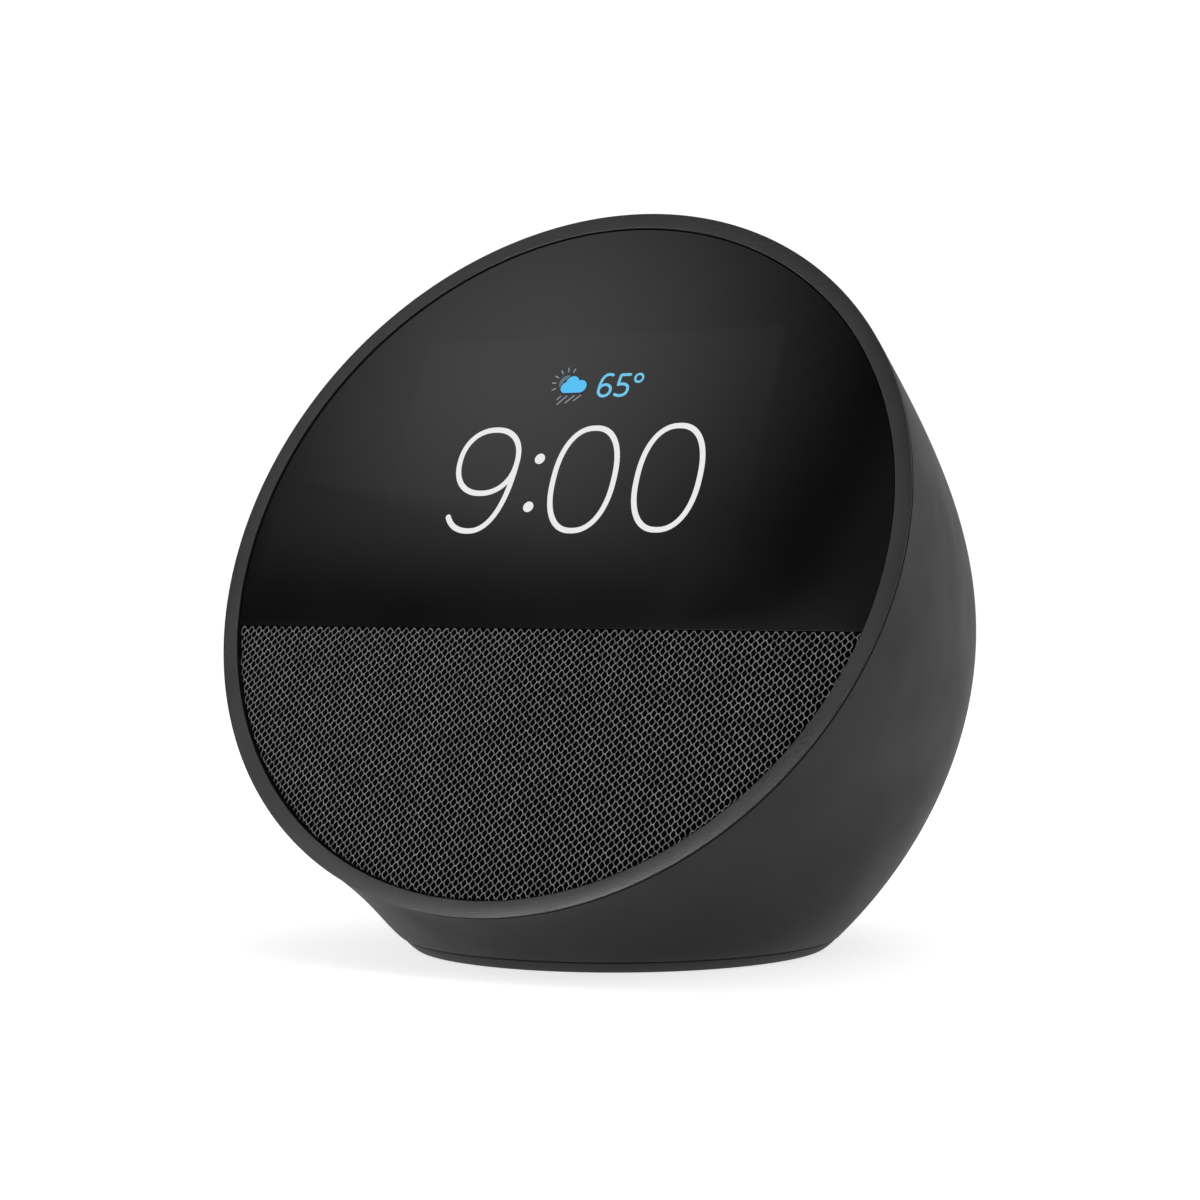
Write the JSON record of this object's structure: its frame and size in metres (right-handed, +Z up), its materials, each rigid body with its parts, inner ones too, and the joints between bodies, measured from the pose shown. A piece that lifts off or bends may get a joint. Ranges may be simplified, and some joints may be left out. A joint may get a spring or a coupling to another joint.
{
  "type": "smart speaker",
  "caption": "Bedside smart speaker: a round tilted face with a touch display above a knit grille, in a matte ball-like shell on a small oval foot.",
  "frame": {"origin": "on the floor below the middle of the object's box", "axes": "+Z up, -Y towards the listener on the face's side, +X to the right seen from the front"},
  "size_m": [0.113, 0.103, 0.1111],
  "materials": {
    "shell_plastic": "fine-grained matte, dark grey",
    "ring_plastic": "satin matte, dark grey",
    "black_glass": "polished, black",
    "knit": "black open knit",
    "inner_plastic": "moulded black",
    "foot_rubber": "matte",
    "steel": "zinc plated",
    "aluminium": "extruded",
    "copper": "bright copper",
    "ferrite": "sintered",
    "cone_paper": "pressed pulp",
    "surround_rubber": "satin",
    "board": "solder mask green",
    "chip": "moulded epoxy",
    "flex": "polyimide film",
    "lcd": "dark panel",
    "white_plastic": "white",
    "foam": "closed-cell foam",
    "cable": "matte sheath",
    "display_light": "lit display segments",
    "display_blue": "lit display segments, blue"
  },
  "bodies": {
    "housing": {"rear_shell": "shell_plastic", "bezel_ring": "ring_plastic", "touch_glass": "black_glass", "glass_adhesive": "foam", "lcd_panel": "lcd", "backlight_unit": "white_plastic", "display_bracket": "steel", "display_flex": "flex", "front_frame": "inner_plastic", "grille_plate": "inner_plastic", "grille_fabric": "knit", "antenna_left": "copper", "antenna_right": "copper", "speaker_gasket": "foam", "speaker_basket": "steel", "surround": "surround_rubber", "spider": "cone_paper", "top_plate": "steel", "magnet": "ferrite", "pole_yoke": "steel", "speaker_chamber": "inner_plastic", "speaker_cable": "cable", "main_board": "board", "processor_shield": "steel", "radio_shield": "steel", "processor": "chip", "memory_chip": "chip", "amplifier_chip": "chip", "speaker_connector": "white_plastic", "heat_spreader": "aluminium", "button_carrier": "inner_plastic", "button_flex": "flex", "microphone_left": "steel", "microphone_right": "steel", "power_socket": "chip", "power_pin": "steel", "power_board": "board", "power_cable": "cable", "foot_pad": "foot_rubber", "base_plate": "inner_plastic", "ballast_plate": "steel", "frame_screw_1": "steel", "frame_screw_2": "steel", "frame_screw_3": "steel", "frame_screw_4": "steel", "volume_down_switch": "steel", "microphone_switch": "steel", "volume_up_switch": "steel"},
    "speaker_cone": {"speaker_cone": "cone_paper", "dust_cap": "cone_paper", "voice_coil": "copper"},
    "volume_down_button": {"volume_down_button": "shell_plastic", "volume_down_plunger": "white_plastic"},
    "microphone_button": {"microphone_button": "shell_plastic", "microphone_plunger": "white_plastic"},
    "volume_up_button": {"volume_up_button": "shell_plastic", "volume_up_plunger": "white_plastic"}
  },
  "joints": [
    {"name": "volume_down_press", "type": "slide", "parent": "housing", "child": "volume_down_button", "axis": [0.2995, -0.5362, -0.7892], "range_m": [0, 0.0005], "stiffness_N_per_m": 800, "springref_m": -0.0005},
    {"name": "microphone_press", "type": "slide", "parent": "housing", "child": "microphone_button", "axis": [0, -0.557, -0.8305], "range_m": [0, 0.0005], "stiffness_N_per_m": 800, "springref_m": -0.0005},
    {"name": "volume_up_press", "type": "slide", "parent": "housing", "child": "volume_up_button", "axis": [-0.2995, -0.5362, -0.7892], "range_m": [0, 0.0005], "stiffness_N_per_m": 800, "springref_m": -0.0005},
    {"name": "cone_stroke", "type": "slide", "parent": "housing", "child": "speaker_cone", "axis": [0, -0.9063, 0.4226], "range_m": [-0.0012, 0.0012], "stiffness_N_per_m": 1500, "deforming": ["surround", "spider"]}
  ]
}
